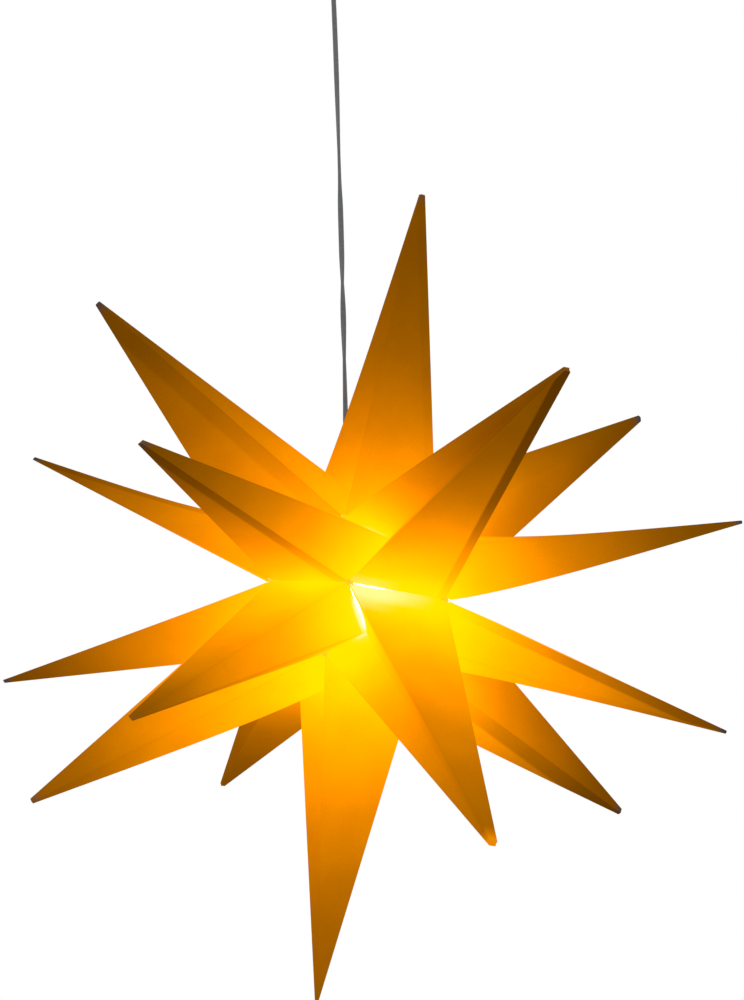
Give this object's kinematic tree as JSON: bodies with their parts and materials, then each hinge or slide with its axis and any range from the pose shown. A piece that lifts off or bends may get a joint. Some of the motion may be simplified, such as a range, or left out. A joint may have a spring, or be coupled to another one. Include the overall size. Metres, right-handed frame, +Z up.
{
  "type": "illuminated star pendant",
  "caption": "Hanging star lamp of folded translucent sheet points round a screw-in lamp, on a cord from a ceiling canopy that lets it swing and turn.",
  "frame": {"origin": "middle of the ceiling bracket's top face, on the ceiling plane", "axes": "+Z up, square to the ceiling; X along the bracket's two screw holes; -Y towards the viewer's side"},
  "size_m": [0.5298, 0.5121, 0.9497],
  "materials": {
    "star_sheet": "translucent satin sheet",
    "stud_plastic": "amber satin moulding",
    "rivet_metal": "dull nickel plate",
    "white_plastic": "fine satin",
    "cord_sheath": "smooth flexible sheath",
    "steel": "zinc plated",
    "copper_alloy": "bare metal",
    "ceramic_white": "unglazed",
    "terminal_plastic": "natural moulding",
    "lamp_nickel": "nickel plated",
    "lamp_housing": "gloss white",
    "lamp_diffuser": "opal",
    "circuit": "coated board",
    "board_aluminium": "white lacquered",
    "light_phosphor": "clear coated"
  },
  "bodies": {
    "ceiling": {"ceiling_bracket": "steel", "canopy": "white_plastic", "canopy_screws": "steel", "outlet_bushing": "white_plastic", "seat_ring": "white_plastic", "cord_grip": "white_plastic", "grip_screw": "steel", "cord_tail": "cord_sheath", "core_tails": "copper_alloy", "terminal_block": "terminal_plastic", "terminal_screws": "steel"},
    "swivel": {"cord_swivel": "cord_sheath"},
    "cord": {"pendant_cord": "cord_sheath", "cord_ferrule": "cord_sheath"},
    "star": {"middle_point_1": "star_sheet", "middle_point_2": "star_sheet", "middle_point_3": "star_sheet", "middle_point_4": "star_sheet", "middle_point_5": "star_sheet", "middle_point_6": "star_sheet", "left_point_1": "star_sheet", "left_point_2": "star_sheet", "left_point_3": "star_sheet", "left_point_4": "star_sheet", "left_point_5": "star_sheet", "left_point_6": "star_sheet", "right_point_1": "star_sheet", "right_point_2": "star_sheet", "right_point_3": "star_sheet", "right_point_4": "star_sheet", "right_point_5": "star_sheet", "right_point_6": "star_sheet", "corner_stud_caps": "stud_plastic", "corner_stud_washers": "stud_plastic", "pole_stud_caps": "stud_plastic", "pole_stud_washers": "stud_plastic", "hanger_plate": "white_plastic", "hem_rivets": "rivet_metal", "upper_shade_ring": "white_plastic", "lower_shade_ring": "white_plastic", "holder_sleeve": "white_plastic", "holder_cap": "white_plastic", "contact_carrier": "ceramic_white", "socket_shell": "copper_alloy", "socket_contact": "copper_alloy", "holder_cores": "copper_alloy"},
    "lamp_foot": {"lamp_contact": "copper_alloy"},
    "lamp": {"lamp_cap": "lamp_nickel", "lamp_body": "lamp_housing", "lamp_driver": "circuit", "light_board": "board_aluminium", "light_chips": "light_phosphor", "lamp_globe": "lamp_diffuser"}
  },
  "joints": [
    {"name": "swing_front_back", "type": "hinge", "parent": "ceiling", "child": "swivel", "pos_m": [0, 0, -0.0315], "axis": [1, 0, 0], "range_deg": [-15, 15]},
    {"name": "swing_left_right", "type": "hinge", "parent": "swivel", "child": "cord", "pos_m": [0, 0, -0.0315], "axis": [0, 1, 0], "range_deg": [-15, 15]},
    {"name": "star_turn", "type": "hinge", "parent": "cord", "child": "star", "pos_m": [-0.00672, -0.00322, -0.61733], "axis": [-0.081, -0.0388, 0.996], "range_deg": [-180, 180]},
    {"name": "lamp_out", "type": "slide", "parent": "star", "child": "lamp_foot", "axis": [0.081, 0.0388, -0.996], "range_m": [0, 0.0141]},
    {"name": "lamp_turn", "type": "hinge", "parent": "lamp_foot", "child": "lamp", "pos_m": [-0.00405, -0.00194, -0.6502], "axis": [0.081, 0.0388, -0.996], "range_deg": [0, 1801]}
  ],
  "couplings": [
    {"joint": "lamp_turn", "follows": "lamp_out", "rad_per_m": 2228.1}
  ]
}
